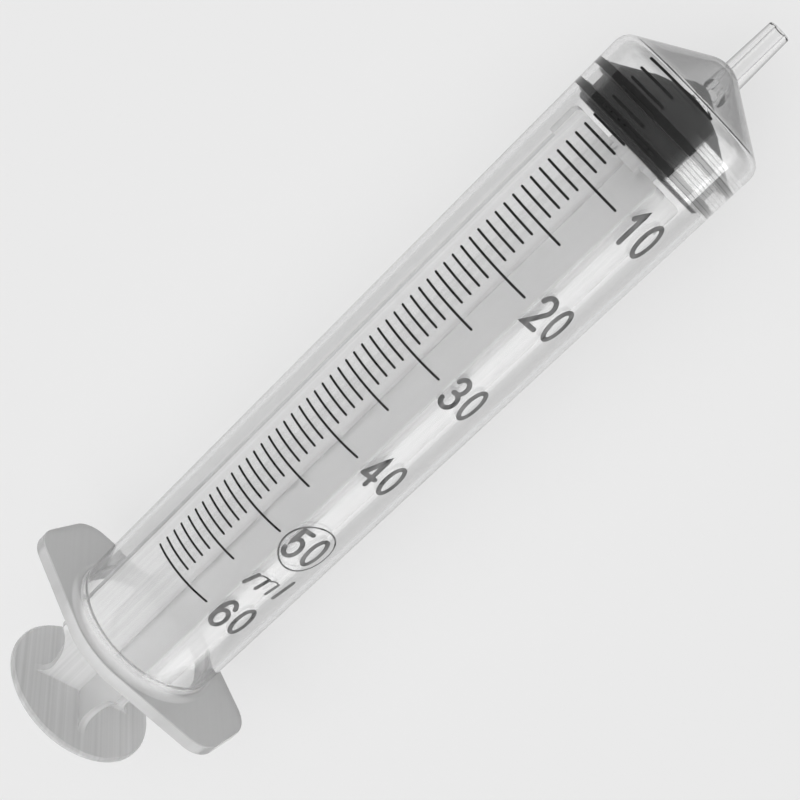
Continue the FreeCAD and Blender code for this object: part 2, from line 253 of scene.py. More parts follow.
@dataclass(frozen=True)
class ClearPlastic:
    """Moulded plastic, clearer towards the nozzle and cloudy towards the thumb end, with painted
    shade where it is seen edge on and, where a band is given, a painted highlight.

    Args:
        name: The material's name.
        tones: Tone of the cloudy part and of the clear part.
        clear_shares: Share of light that the cloudy part and the clear part let through.
        clearing: Where the cloudy part ends and the clear part starts, in mm along X.
        rim_depths: Depth of the painted shade on the tube and on the nose where they are seen edge
            on.
        roughness: Least and greatest roughness.
        streak_depth: Depth of the streaks, in metres.
        ior: Index of refraction.
        streak_scale: Streaks per metre.
        streak_stretch: How the streaks are scaled along each axis.
        line_depth: How much darker the fine mould lines are.
        line_across: The direction across the mould lines.
        line_scale: Mould lines per metre.
        tube_rim: Where the tube's painted edge shade starts and is darkest, in thousandths of
            facing.
        nose_rim: The same painted edge shade for the nose.
        nose: Where the tube passes into the nose, in mm along X.
        shadow_tone: Share of light that the plastic's shadow keeps.
        oil_film: Where the painted highlight, a strongly mirroring coat, starts and ends,
            in mm along X, or the same place twice for none.
        oil_side: Where the highlight's coat is whole and where it has thinned out, in mm along Y.
        oil_soft: Length in mm over which the highlight coat's ends thin out.
        oil_pitch: Distance in mm between the fine lines that part the highlight coat.
        oil_lines: Levels of a sine, in thousandths, where a line ends and the highlight coat is
            whole.
        oil_least: What is left of the highlight coat in its lines.
        oil_ior: The coat's index of refraction, set high so that it mirrors the lamps as a painted
            highlight.
        oil_roughness: The highlight coat's roughness.
    """

    name: str
    tones: Point
    clear_shares: Point
    clearing: Point
    rim_depths: Point
    roughness: Point
    streak_depth: float
    ior: float
    streak_scale: float = 300.0
    streak_stretch: Place = (0.04, 1.0, 1.0)
    line_depth: float = 0.02
    line_across: Place = (0.0, 0.805, 0.593)
    line_scale: float = 1100.0
    tube_rim: Point = (360.0, 500.0)
    nose_rim: Point = (240.0, 760.0)
    nose: Point = (126.5, 129.0)
    shadow_tone: float = 0.9
    oil_film: Point = (0.0, 0.0)
    oil_side: Point = (-8.5, -4.5)
    oil_soft: float = 0.3
    oil_pitch: float = 0.62
    oil_lines: Point = (-980.0, -600.0)
    oil_least: float = 0.5
    oil_ior: float = 3.0
    oil_roughness: float = 0.05

    def material(self) -> bpy.types.Material:
        """Make the material."""
        made = bpy.data.materials.new(self.name)
        made.use_nodes = True
        board = NodeBoard(made.node_tree)
        plastic = board.add("ShaderNodeBsdfPrincipled")
        plastic.inputs["IOR"].default_value = self.ior
        along = board.place().outputs["X"]
        board.join(self.tone(board, along), plastic.inputs["Base Color"])
        clear_share = board.ramp(along, self.clearing, self.clear_shares)
        board.join(clear_share, plastic.inputs["Transmission Weight"])
        streaks = board.noise(self.streak_scale, detail=3.0, stretch=self.streak_stretch)
        board.join(board.spread(streaks, *self.roughness), plastic.inputs["Roughness"])
        board.join(board.bump(streaks, self.streak_depth), plastic.inputs["Normal"])
        # A strongly mirroring coat laid only over a band on the near side above the stopper: a
        # painted highlight.
        if self.oil_film[1] > self.oil_film[0]:
            plastic.inputs["Coat IOR"].default_value = self.oil_ior
            plastic.inputs["Coat Roughness"].default_value = self.oil_roughness
            board.join(self.oil(board, along), plastic.inputs["Coat Weight"])
        passing = board.add("ShaderNodeBsdfTransparent")
        passing.inputs["Color"].default_value = (*(self.shadow_tone,) * 3, 1)
        path = board.add("ShaderNodeLightPath")
        mix = board.add("ShaderNodeMixShader")
        board.join(path.outputs["Is Shadow Ray"], mix.inputs["Fac"])
        board.join(plastic.outputs["BSDF"], mix.inputs[1])
        board.join(passing.outputs["BSDF"], mix.inputs[2])
        out = board.add("ShaderNodeOutputMaterial")
        board.join(mix.outputs["Shader"], out.inputs["Surface"])
        return made

    def tone(self, board: NodeBoard, along: Socket) -> Socket:
        """The plastic's tone, darkened by painted shade where the wall is seen edge on, and lower
        in fine mould lines.

        Args:
            board: The material's node tree.
            along: The socket with the place along X.

        Returns:
            The socket with the tone.
        """
        # Painted shade: the tone darkens where the wall is seen edge on, most on the nose.
        edge_on = board.add("ShaderNodeLayerWeight")
        edge_on.inputs["Blend"].default_value = 0.5
        facing = edge_on.outputs["Facing"]
        on_tube, on_nose = self.rim_depths
        tube = board.ramp(facing, self.tube_rim, (0.0, on_tube))
        rim = board.ramp(facing, self.nose_rim, (0.0, 1.0))
        depth = board.ramp(along, self.nose, (0.0, on_nose))
        lines = board.lines(self.line_across, self.line_scale)
        worn = board.spread(lines, 1.0, 1.0 - self.line_depth)
        # The painted edge shade, on the tube or on the nose, whichever is deeper.
        edge_shade = board.math("MAXIMUM", board.math("MULTIPLY", rim, depth), tube)
        kept = board.math("SUBTRACT", None, edge_shade, 1.0)
        plain = board.ramp(along, self.clearing, self.tones)
        marked = board.math("MULTIPLY", plain, worn)
        return board.math("MULTIPLY", marked, kept)

    def oil(self, board: NodeBoard, along: Socket) -> Socket:
        """A painted highlight: a mirroring coat over the stopper's rings on the near side, parted
        by fine lines round the bore.

        Args:
            board: The material's node tree.
            along: The socket with the place along X.

        Returns:
            The socket with the highlight coat's share, from 0 to 1.
        """
        start, end = self.oil_film
        # Painted highlight: the coat's band, parted by fine lines, thinning towards the far side.
        turns = board.math("MULTIPLY", along, None, 2 * math.pi / (self.oil_pitch * MM))
        waves = board.math("SINE", turns)
        parted = board.ramp(waves, self.oil_lines, (self.oil_least, 1.0))
        behind = board.ramp(along, (start, start + self.oil_soft), (0.0, 1.0))
        ahead = board.ramp(along, (end - self.oil_soft, end), (1.0, 0.0))
        near = board.ramp(board.place().outputs["Y"], self.oil_side, (1.0, 0.0))
        band = board.math("MULTIPLY", board.math("MULTIPLY", behind, ahead), near)
        return board.math("MULTIPLY", band, parted)


@dataclass(frozen=True)
class OpaqueFinish:
    """Rubber or ink: a dark surface with a fine grain.

    Args:
        name: The material's name.
        tones: Darkest and palest tone of the grain.
        roughness: Least and greatest roughness.
        grain_scale: Grains per metre.
        grain_depth: Depth of the grain, in metres.
        stretch: How the grain is scaled along each axis.
        gloss: Level of the surface's mirror light.
    """

    name: str
    tones: Point
    roughness: Point
    grain_scale: float
    grain_depth: float
    stretch: Place = (1.0, 1.0, 1.0)
    gloss: float = 0.5

    def material(self) -> bpy.types.Material:
        """Make the material."""
        made = bpy.data.materials.new(self.name)
        made.use_nodes = True
        board = NodeBoard(made.node_tree)
        surface = board.add("ShaderNodeBsdfPrincipled")
        surface.inputs["Specular IOR Level"].default_value = self.gloss
        grain = board.noise(self.grain_scale, detail=4.0, stretch=self.stretch)
        board.join(board.spread(grain, *self.tones), surface.inputs["Base Color"])
        board.join(board.spread(grain, *self.roughness), surface.inputs["Roughness"])
        board.join(board.bump(grain, self.grain_depth), surface.inputs["Normal"])
        out = board.add("ShaderNodeOutputMaterial")
        board.join(surface.outputs["BSDF"], out.inputs["Surface"])
        return made


def dress(piece: bpy.types.Object, finish: ClearPlastic | OpaqueFinish) -> bpy.types.Object:
    """Give a piece one finish all over.

    Args:
        piece: The piece.
        finish: The finish to make and give it.

    Returns:
        The piece.
    """
    piece.data.materials.clear()
    piece.data.materials.append(finish.material())
    return piece


def make_piece(
    name: str, verts: Sequence[Sequence[float]], faces: Sequence[Sequence[int]]
) -> bpy.types.Object:
    """Make an object from points and faces.

    Args:
        name: The piece's name.
        verts: Its points.
        faces: Each face's points, in order.

    Returns:
        The new object.
    """
    mesh = bpy.data.meshes.new(name)
    mesh.from_pydata(verts, [], faces)
    mesh.validate()
    piece = bpy.data.objects.new(name, mesh)
    bpy.context.scene.collection.objects.link(piece)
    return piece


@dataclass
class PhotoCamera:
    """The photograph's camera: its place in metres, and the picture's right and down."""

    place: Place = (0.114950, -0.020841, 0.185782)
    right: Place = (0.69507, -0.66987, -0.26103)
    down: Place = (-0.66779, -0.73607, 0.11076)
    lens: float = 53.45
    sensor: float = 36.0
    nearest: float = 0.01
    farthest: float = 10.0

    def build(self) -> bpy.types.Object:
        """Make the camera and use it."""
        data = bpy.data.cameras.new("photo_camera")
        data.lens = self.lens
        data.sensor_width = self.sensor
        data.clip_start = self.nearest
        data.clip_end = self.farthest
        data.dof.use_dof = False
        camera = bpy.data.objects.new("photo_camera", data)
        right = Vector(self.right).normalized()
        up = -Vector(self.down)
        back = right.cross(up).normalized()
        up = back.cross(right)
        turn = Matrix((right, up, back)).transposed().to_4x4()
        camera.matrix_world = Matrix.Translation(Vector(self.place)) @ turn
        bpy.context.scene.collection.objects.link(camera)
        bpy.context.scene.camera = camera
        return camera


@dataclass
class Studio:
    """Pale floor and room, even overhead light, and two long soft lamps on the near side.

    Args:
        floor_height: The floor's height, where the flange's hub stands on it.
        floor_half: Half the floor's side.
        floor_tone: The floor's tone.
        even_share: Share of the floor's look that no shadow reaches.
        room: Strength of the room in reflections and on surfaces, level with the floor and
            overhead.
        beyond: Strength of the room seen straight on and seen through plastic.
        overhead: Strength of the overhead light.
        overhead_spread: How wide the overhead light is, in degrees.
        lamp_size: The side lamp's length along the syringe and its width.
        lamp_place: Its middle.
        strip_size: The low lamp's length along the syringe and its width.
        strip_place: Its middle, just above the floor.
        lamp_radiance: Brightness of both lamps.
    """

    floor_height: float = -15.9 * MM
    floor_half: float = 4.0
    floor_tone: float = 0.83
    even_share: float = 0.75
    room: Point = (0.096, 0.112)
    beyond: Point = (0.83, 0.544)
    overhead: float = 0.85
    overhead_spread: float = 100.0
    lamp_size: Point = (0.62, 0.256)
    lamp_place: Place = (-0.02, -0.30, 0.113)
    strip_size: Point = (0.62, 0.17)
    strip_place: Place = (-0.02, -0.215, -0.0157)
    lamp_radiance: float = 1.55

    def build(self) -> None:
        """Make the floor, the room and the lamps."""
        self.build_floor()
        self.build_room()
        self.build_overhead()
        self.build_lamp("side_lamp", self.lamp_size, self.lamp_place, tilt=90.0)
        self.build_lamp("low_lamp", self.strip_size, self.strip_place, tilt=180.0)

    def build_floor(self) -> None:
        """A pale floor that keeps a faint shadow."""
        half, height = self.floor_half, self.floor_height
        sides = ((-half, -half), (half, -half), (half, half), (-half, half))
        floor = make_piece("floor", [(*side, height) for side in sides], [(0, 1, 2, 3)])
        material = bpy.data.materials.new("pale_floor")
        material.use_nodes = True
        board = NodeBoard(material.node_tree)
        matt = board.add("ShaderNodeBsdfDiffuse")
        even = board.add("ShaderNodeEmission")
        for surface in (matt, even):
            surface.inputs["Color"].default_value = (*(self.floor_tone,) * 3, 1)
        rays = board.add("ShaderNodeLightPath").outputs
        straight = board.math("MAXIMUM", rays["Is Camera Ray"], rays["Is Transmission Ray"])
        seen = board.math("MAXIMUM", straight, rays["Is Glossy Ray"])
        mix = board.add("ShaderNodeMixShader")
        board.join(board.math("MULTIPLY", seen, None, self.even_share), mix.inputs["Fac"])
        board.join(matt.outputs["BSDF"], mix.inputs[1])
        board.join(even.outputs["Emission"], mix.inputs[2])
        out = board.add("ShaderNodeOutputMaterial")
        board.join(mix.outputs["Shader"], out.inputs["Surface"])
        floor.data.materials.append(material)

    def build_room(self) -> None:
        """A room that is pale straight on and through plastic, and dim in reflections."""
        world = bpy.data.worlds.new("dim_room")
        world.use_nodes = True
        bpy.context.scene.world = world
        board = NodeBoard(world.node_tree)
        level = board.map_range(board.place("Generated").outputs["Z"], (0.0, 1.0), self.room)
        rays = board.add("ShaderNodeLightPath").outputs
        on_camera, on_plastic = self.beyond
        straight = board.math("MULTIPLY", rays["Is Camera Ray"], None, on_camera)
        through = board.math("MULTIPLY", rays["Is Transmission Ray"], None, on_plastic)
        seen = board.math("MAXIMUM", straight, through)
        background = board.add("ShaderNodeBackground")
        background.inputs["Color"].default_value = (1, 1, 1, 1)
        board.join(board.math("MAXIMUM", seen, level), background.inputs["Strength"])
        out = board.add("ShaderNodeOutputWorld")
        board.join(background.outputs["Background"], out.inputs["Surface"])

    def build_overhead(self) -> None:
        """Even light from a wide part of the ceiling, which gloss doesn't mirror."""
        data = bpy.data.lights.new("overhead_light", "SUN")
        data.energy = self.overhead * math.pi
        data.angle = math.radians(self.overhead_spread)
        overhead = bpy.data.objects.new("overhead_light", data)
        overhead.location = (0, 0, 1)
        overhead.visible_glossy = False
        overhead.visible_transmission = False
        bpy.context.scene.collection.objects.link(overhead)

    def build_lamp(self, name: str, size: Point, place: Place, tilt: float) -> None:
        """A long soft lamp that shows in gloss, as the bright band along the barrel.

        Args:
            name: The lamp's name.
            size: Its length along the syringe and its width, in metres.
            place: Its middle.
            tilt: Turn about X from facing down, in degrees.
        """
        data = bpy.data.lights.new(name, "AREA")
        data.shape = "RECTANGLE"
        data.size, data.size_y = size
        data.energy = self.lamp_radiance * math.pi * size[0] * size[1]
        lamp = bpy.data.objects.new(name, data)
        lamp.location = place
        lamp.rotation_euler = (math.radians(tilt), 0, 0)
        lamp.visible_camera = False
        lamp.visible_diffuse = False
        bpy.context.scene.collection.objects.link(lamp)


# A part of an arc spans about this many degrees, and an arc has this many parts at least.
ARC_PART = 9
ARC_LEAST = 8


@dataclass(frozen=True)
class Arc:
    """Part of an ellipse in a glyph's own place, from one angle to another in degrees."""

    centre: Point
    radii: Point
    start: float
    end: float

    def points(self) -> list[Point]:
        """Points along the arc."""
        (x, y), (wide, tall) = self.centre, self.radii
        steps = max(ARC_LEAST, round(abs(self.end - self.start) / ARC_PART))
        found = []
        for step in range(steps + 1):
            angle = math.radians(self.start + (self.end - self.start) * step / steps)
            found.append((x + wide * math.cos(angle), y + tall * math.sin(angle)))
        return found


@dataclass(frozen=True)
class Stroke:
    """One pen line of a glyph: arcs and corners in order, in a box one wide and one high."""

    parts: tuple[Arc | Point, ...]
    closed: bool = False

    def points(self) -> list[Point]:
        """The corners and the arcs' points in order."""
        found: list[Point] = []
        for part in self.parts:
            found.extend(part.points() if isinstance(part, Arc) else [part])
        return found


GLYPHS: dict[str, tuple[Stroke, ...]] = {
    "0": (Stroke((Arc((0.5, 0.5), (0.5, 0.5), 0, 351),), closed=True),),
    "1": (Stroke(((0.22, 0.70), (0.62, 0.97), (0.62, 0.0))),),
    "2": (Stroke((Arc((0.5, 0.715), (0.47, 0.285), 165, -28), (0.04, 0.02), (1.0, 0.02))),),
    "3": (
        Stroke((Arc((0.47, 0.755), (0.42, 0.245), 160, -90), (0.34, 0.51))),
        Stroke(((0.34, 0.51), Arc((0.48, 0.26), (0.5, 0.26), 90, -165))),
    ),
    "4": (Stroke(((0.74, 0.0), (0.74, 1.0), (0.02, 0.27))), Stroke(((0.02, 0.27), (1.04, 0.27)))),
    "5": (
        Stroke(((0.90, 1.0), (0.20, 1.0), (0.09, 0.48), Arc((0.49, 0.33), (0.5, 0.33), 140, -160))),
    ),
    "6": (
        Stroke((Arc((0.5, 0.31), (0.48, 0.31), 0, 351),), closed=True),
        Stroke((Arc((0.52, 0.5), (0.5, 0.5), 35, 190),)),
    ),
}


@dataclass
class Wall:
    """The outside of the tube that the scale is printed on.

    Args:
        radius: The tube's radius in mm.
        lift: How far the print's underside is above the wall, in mm.
        film: The print's thickness in mm.
    """

    radius: float = 14.45
    lift: float = 0.004
    film: float = 0.016

    def place(self, along: float, angle: float, height: float) -> Place:
        """A point on the wall.

        Args:
            along: Place along X in mm.
            angle: Angle from the scale's upright towards the near side, in radians.
            height: Height above the wall in mm.

        Returns:
            The point in metres, with the syringe at rest.
        """
        turned = angle + REST_TURN
        reach = self.radius + height
        return (along * MM, -reach * math.sin(turned) * MM, reach * math.cos(turned) * MM)


@dataclass
class Pen:
    """Draws round-ended lines as thin closed ribbons, flat, then lays them on the wall.

    Args:
        wall: The wall that the lines are laid on.
        run: Longest run in mm that isn't divided to bend round the wall.
        end_angles: Where the points of a round end stand, in degrees.
        least_turn: Keeps a sharp corner's point from running far out.
    """

    wall: Wall = field(default_factory=Wall)
    run: float = 0.28
    end_angles: tuple[int, ...] = (30, 60, 84)
    least_turn: float = 0.45

    def ribbon(
        self, line: Sequence[Point], width: float, closed: bool
    ) -> tuple[Verts, Faces]:
        """A thin flat closed solid along a line.

        Args:
            line: Points in mm: along the tube, and round it.
            width: The line's width in mm.
            closed: Whether the line's end joins its start.

        Returns:
            Points with their height, and faces.
        """
        line = self.even(line, closed)
        left, right = self.sides(line, width / 2, closed)
        if not closed:
            left, right = self.with_ends(line, left, right, width / 2)
        count = len(left)
        verts = [[*p, h] for h in (0.0, 1.0) for side in (left, right) for p in side]
        up = 2 * count
        faces = []
        for i in range(count if closed else count - 1):
            j = (i + 1) % count
            a, b, c, d = i, j, count + j, count + i
            faces.append([a, b, c, d])
            faces.append([up + d, up + c, up + b, up + a])
            faces.append([a, up + a, up + b, b])
            faces.append([c, up + c, up + d, d])
        if not closed:
            last = count - 1
            faces.append([0, count, up + count, up])
            faces.append([last, up + last, up + count + last, count + last])
        return verts, faces

    def even(self, line: Sequence[Point], closed: bool) -> list[Point]:
        """Divide a line's long runs so that it can bend round the tube.

        Args:
            line: The line's points.
            closed: Whether the line's end joins its start.

        Returns:
            The line with more points.
        """
        found: list[Point] = []
        ends = list(line[1:]) + ([line[0]] if closed else [])
        for start, end in zip(line, ends):
            pieces = max(1, math.ceil(math.dist(start, end) / self.run))
            for piece in range(pieces):
                share = piece / pieces
                found.append(tuple(a + (b - a) * share for a, b in zip(start, end)))
        if not closed:
            found.append(tuple(line[-1]))
        return found

    def sides(
        self, line: Sequence[Point], half: float, closed: bool
    ) -> tuple[list[Point], list[Point]]:
        """Find the two edges of a line.

        Args:
            line: The line's points.
            half: Half the line's width.
            closed: Whether the line's end joins its start.

        Returns:
            The left edge and the right edge.
        """
        left, right = [], []
        count = len(line)
        for i, here in enumerate(line):
            before = line[i - 1] if (i or closed) else here
            after = line[(i + 1) % count] if (i < count - 1 or closed) else here
            run_in = Vector((here[0] - before[0], here[1] - before[1]))
            run_out = Vector((after[0] - here[0], after[1] - here[1]))
            run_in = (run_in if run_in.length > TINY else run_out).normalized()
            run_out = (run_out if run_out.length > TINY else run_in).normalized()
            middle = (run_in + run_out).normalized()
            reach = half / max(self.least_turn, middle.dot(run_in))
            left.append((here[0] - middle.y * reach, here[1] + middle.x * reach))
            right.append((here[0] + middle.y * reach, here[1] - middle.x * reach))
        return left, right

    def with_ends(
        self, line: Sequence[Point], left: list[Point], right: list[Point], half: float
    ) -> tuple[list[Point], list[Point]]:
        """Carry both edges round the ends of the line.

        Args:
            line: The line's points.
            left: The left edge.
            right: The right edge.
            half: Half the line's width.

        Returns:
            The left edge and the right edge with their round ends.
        """
        for at_start in (True, False):
            here, beside = (line[0], line[1]) if at_start else (line[-1], line[-2])
            flip = 1 if at_start else -1
            away = Vector((here[0] - beside[0], here[1] - beside[1])).normalized()
            for angle in self.end_angles:
                out = half * math.sin(math.radians(angle))
                wide = half * math.cos(math.radians(angle))
                x, y = here[0] + away.x * out, here[1] + away.y * out
                x_wide, y_wide = away.y * wide * flip, away.x * wide * flip
                spot = 0 if at_start else len(left)
                left.insert(spot, (x + x_wide, y - y_wide))
                right.insert(spot, (x - x_wide, y + y_wide))
        return left, right

    def lay(self, piece: bpy.types.Object) -> None:
        """Bend a flat piece round the wall, which turns its faces over.

        Args:
            piece: The flat piece, in mm.
        """
        for vert in piece.data.vertices:
            along, around, height = vert.co
            lifted = self.wall.lift + self.wall.film * height
            vert.co = self.wall.place(along, around / self.wall.radius, lifted)
        piece.data.flip_normals()
        piece.data.update()


@dataclass
class Numeral:
    """One figure of the scale: its middle along and round the tube, its size and its line."""

    character: str
    along: float
    around: float
    height: float = 6.35
    width: float = 3.35
    line: float = 0.86

    def strokes(self) -> list[tuple[list[Point], bool, float]]:
        """The figure's pen lines in mm, top towards the nozzle, each with its width."""
        tall, wide = self.height - self.line, self.width - self.line
        found = []
        for stroke in GLYPHS[self.character]:
            line = [
                (self.along + (up - 0.5) * tall, self.around + (across - 0.5) * wide)
                for across, up in stroke.points()
            ]
            found.append((line, stroke.closed, self.line))
        return found


@dataclass(frozen=True)
class Letter:
    """A sloping letter of the unit, its pen lines in mm along the tube and round it."""

    character: str
    lines: tuple[tuple[float, tuple[Point, ...]], ...]

    def strokes(self) -> list[tuple[list[Point], bool, float]]:
        """The letter's pen lines, each with its width."""
        return [(list(line), False, width) for width, line in self.lines]


UNIT = (
    Letter(
        "m",
        (
            (0.72, ((27.3, 8.8), (29.8, 9.72))),
            (0.72, ((27.35, 11.15), (29.85, 11.85))),
            (0.62, ((27.3, 13.45), (29.75, 14.0))),
            (0.30, ((29.6, 9.75), (30.05, 10.5), (30.1, 11.3), (29.8, 11.85))),
            (0.30, ((29.65, 11.9), (30.1, 12.75), (30.1, 13.5), (29.7, 14.0))),
        ),
    ),
    Letter("l", ((0.85, ((27.1, 15.4), (31.1, 16.25))),)),
)


@dataclass
class PrintedScale:
    """The scale on the barrel: graduation lines, numerals, the capacity ring and the unit.

    Args:
        zero: The first line's place along X in mm.
        pitch: Distance between two lines in mm.
        lines: How many lines there are.
        line_width: Their width in mm.
        start: Where each line starts, in degrees round the tube.
        ends: Where the short, middle and long lines end, in degrees.
        first_figure: Middle of a numeral's first figure, in degrees.
        second_figure: Middle of its second figure, in degrees.
        numbers: The numbers that are printed.
        ring_along: The ring's middle along X in mm.
        ring_around: The ring's middle round the tube, in degrees.
        ring_diameter: The ring's diameter in mm.
        ring_line: The ring's line width in mm.
        ring_steps: How many parts the ring has.
        pen: What draws the print.
    """

    zero: float = 127.0
    pitch: float = 1.777
    lines: int = 61
    line_width: float = 0.40
    start: float = -22.5
    ends: tuple[float, float, float] = (3.5, 18.8, 26.8)
    first_figure: float = 41.35
    second_figure: float = 57.2
    numbers: tuple[int, ...] = (10, 20, 30, 40, 50, 60)
    ring_along: float = 38.1
    ring_around: float = 50.5
    ring_diameter: float = 9.4
    ring_line: float = 0.3
    ring_steps: int = 96
    pen: Pen = field(default_factory=Pen)

    def arc_mm(self, degrees: float) -> float:
        """Distance round the wall in mm for an angle."""
        return math.radians(degrees) * self.pen.wall.radius

    def build(self) -> list[bpy.types.Object]:
        """Make every printed piece."""
        return [self.build_lines(), self.build_numerals(), self.build_ring(), self.build_unit()]

    def build_lines(self) -> bpy.types.Object:
        """The graduation lines, longer at each fifth and each tenth."""
        short, middle, long = self.ends
        verts: Verts = []
        faces: Faces = []
        for count in range(self.lines):
            along = self.zero - self.pitch * count
            end = long if count % 10 == 0 else middle if count % 5 == 0 else short
            line = [(along, self.arc_mm(self.start)), (along, self.arc_mm(end))]
            more_verts, more_faces = self.pen.ribbon(line, self.line_width, False)
            shift = len(verts)
            verts.extend(more_verts)
            faces.extend([shift + index for index in face] for face in more_faces)
        return self.print_on(make_piece("scale_lines", verts, faces), TICK_INK)

    def build_numerals(self) -> bpy.types.Object:
        """The numerals, each made of joined pen lines."""
        figures = []
        for number in self.numbers:
            along = self.zero - self.pitch * number
            for character, around in zip(str(number), (self.first_figure, self.second_figure)):
                figures.append(Numeral(character, along, self.arc_mm(around)))
        return self.print_on(self.join_figures("scale_numerals", figures), FIGURE_INK)

    def build_unit(self) -> bpy.types.Object:
        """The sloping unit mark behind the capacity."""
        return self.print_on(self.join_figures("scale_unit", UNIT), FIGURE_INK)

    def join_figures(self, name: str, figures: Iterable[Numeral | Letter]) -> bpy.types.Object:
        """Make one flat piece of several figures or letters.

        Args:
            name: The piece's name.
            figures: The figures or letters.

        Returns:
            The flat piece, in mm.
        """
        solids = [self.join_strokes(figure) for figure in figures]
        bpy.ops.object.select_all(action="DESELECT")
        for solid in solids:
            solid.select_set(True)
        bpy.context.view_layer.objects.active = solids[0]
        bpy.ops.object.join()
        solids[0].name = name
        return solids[0]

    def join_strokes(self, figure: Numeral | Letter) -> bpy.types.Object:
        """Make one closed solid of a figure's or letter's pen lines.

        Args:
            figure: The figure or letter.

        Returns:
            The flat solid, in mm.
        """
        solids = []
        for line, closed, width in figure.strokes():
            verts, faces = self.pen.ribbon(line, width, closed)
            solids.append(make_piece(f"figure_{figure.character}", verts, faces))
        whole = solids[0]
        for other in solids[1:]:
            combine(whole, other, "UNION")
        return whole

    def build_ring(self) -> bpy.types.Object:
        """The thin ring round the capacity that the syringe is sold by."""
        radius = self.ring_diameter / 2
        middle = self.arc_mm(self.ring_around)
        line = []
        for step in range(self.ring_steps):
            angle = 2 * math.pi * step / self.ring_steps
            along = self.ring_along + radius * math.cos(angle)
            line.append((along, middle + radius * math.sin(angle)))
        ring = make_piece("capacity_ring", *self.pen.ribbon(line, self.ring_line, True))
        return self.print_on(ring, FIGURE_INK)

    def print_on(self, piece: bpy.types.Object, ink: OpaqueFinish) -> bpy.types.Object:
        """Lay a flat piece on the wall and ink it.

        Args:
            piece: The flat piece, in mm.
            ink: The ink's finish.

        Returns:
            The printed piece.
        """
        self.pen.lay(piece)
        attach(piece, Body.BARREL.value)
        return dress(piece, ink)


@dataclass
class Lathe:
    """Turns outlines about the syringe's axis, or about a line beside it, in some segments."""

    segments: int = 288

    def turn(self, name: str, outline: Sequence[Point], drop: float = 0.0) -> bpy.types.Object:
        """Turn a closed outline once round a line along X.

        Args:
            name: The solid's name.
            outline: Points in mm, along X and away from the line, in order round the outline.
            drop: How far the line is below the syringe's axis.

        Returns:
            The turned solid, in metres.
        """
        verts: list[Place] = []
        rows: Faces = []
        for along, reach in outline:
            if reach < TINY:
                verts.append((along * MM, 0.0, -drop * MM))
                rows.append([len(verts) - 1] * self.segments)
                continue
            rows.append(list(range(len(verts), len(verts) + self.segments)))
            for step in range(self.segments):
                angle = 2 * math.pi * step / self.segments
                y, z = reach * math.cos(angle), reach * math.sin(angle) - drop
                verts.append((along * MM, y * MM, z * MM))
        faces = []
        for row, following in zip(rows, rows[1:] + rows[:1]):
            for step in range(self.segments):
                beside = (step + 1) % self.segments
                loop = [row[step], row[beside], following[beside], following[step]]
                face = [index for place, index in enumerate(loop) if index not in loop[:place]]
                if len(face) > 2:
                    faces.append(face)
        return make_piece(name, verts, faces)


def fillet(corner: Point, before: Point, after: Point, radius: float, steps: int) -> list[Point]:
    """Round one corner of an outline.

    Args:
        corner: The sharp corner.
        before: A point on the run that leads to it.
        after: A point on the run that leads away.
        radius: The round's radius.
        steps: How many parts the round has.

    Returns:
        The points that stand for the corner.
    """
    way_in = (Vector(corner) - Vector(before)).normalized()
    way_out = (Vector(after) - Vector(corner)).normalized()
    turn = way_in.angle_signed(way_out)
    reach = radius * math.tan(abs(turn) / 2)
    start = Vector(corner) - way_in * reach
    aside = Vector((-way_in.y, way_in.x)) * (-1 if turn > 0 else 1)
    centre = start + aside * radius
    spoke = -aside * radius
    found = []
    for step in range(steps + 1):
        cos, sin = math.cos(-turn * step / steps), math.sin(-turn * step / steps)
        turned = Vector((spoke.x * cos - spoke.y * sin, spoke.x * sin + spoke.y * cos))
        found.append(tuple(centre + turned))
    return found


def cone_tip(apex: float, cone_angle: float, radius: float, steps: int = 12) -> list[Point]:
    """Round the tip of a cone.

    Args:
        apex: Where the cone would come to a point, in mm along X.
        cone_angle: The angle between the cone's side and its axis, in radians.
        radius: The round's radius.
        steps: How many parts the round has.

    Returns:
        The round's points, from the cone's side to its axis.
    """
    centre = apex - radius / math.sin(cone_angle)
    found = []
    for step in range(steps + 1):
        angle = (math.pi / 2 - cone_angle) * (1 - step / steps)
        found.append((centre + radius * math.cos(angle), radius * math.sin(angle)))
    return found


def combine(whole: bpy.types.Object, other: bpy.types.Object, operation: str) -> None:
    """Join another solid to a solid, or cut it out.

    Args:
        whole: The solid that is kept.
        other: The solid that is used up.
        operation: UNION or DIFFERENCE.
    """
    modifier = whole.modifiers.new("combine", "BOOLEAN")
    modifier.operation = operation
    modifier.solver = "EXACT"
    modifier.object = other
    graph = bpy.context.evaluated_depsgraph_get()
    mesh = bpy.data.meshes.new_from_object(whole.evaluated_get(graph))
    whole.modifiers.clear()
    whole.data = mesh
    bpy.data.objects.remove(other)


def tidy_mesh(piece: bpy.types.Object, reach: float = 0.0005 * MM) -> None:
    """Merge points that lie on each other and drop faces without area.

    Args:
        piece: The piece.
        reach: The distance below which two points are one, in metres.
    """
    mesh = bmesh.new()
    mesh.from_mesh(piece.data)
    bmesh.ops.remove_doubles(mesh, verts=mesh.verts, dist=reach)
    bmesh.ops.dissolve_degenerate(mesh, edges=mesh.edges, dist=reach)
    mesh.to_mesh(piece.data)
    mesh.free()


def smooth(piece: bpy.types.Object, angle: float = 28.0) -> None:
    """Shade a piece smoothly between its real edges.

    Args:
        piece: The piece.
        angle: The least angle in degrees at which two faces meet in a real edge.
    """
    for face in piece.data.polygons:
        face.use_smooth = True
    piece.data.set_sharp_from_angle(angle=math.radians(angle))
    weighted = piece.modifiers.new("flat faces stay flat", "WEIGHTED_NORMAL")
    weighted.keep_sharp = True


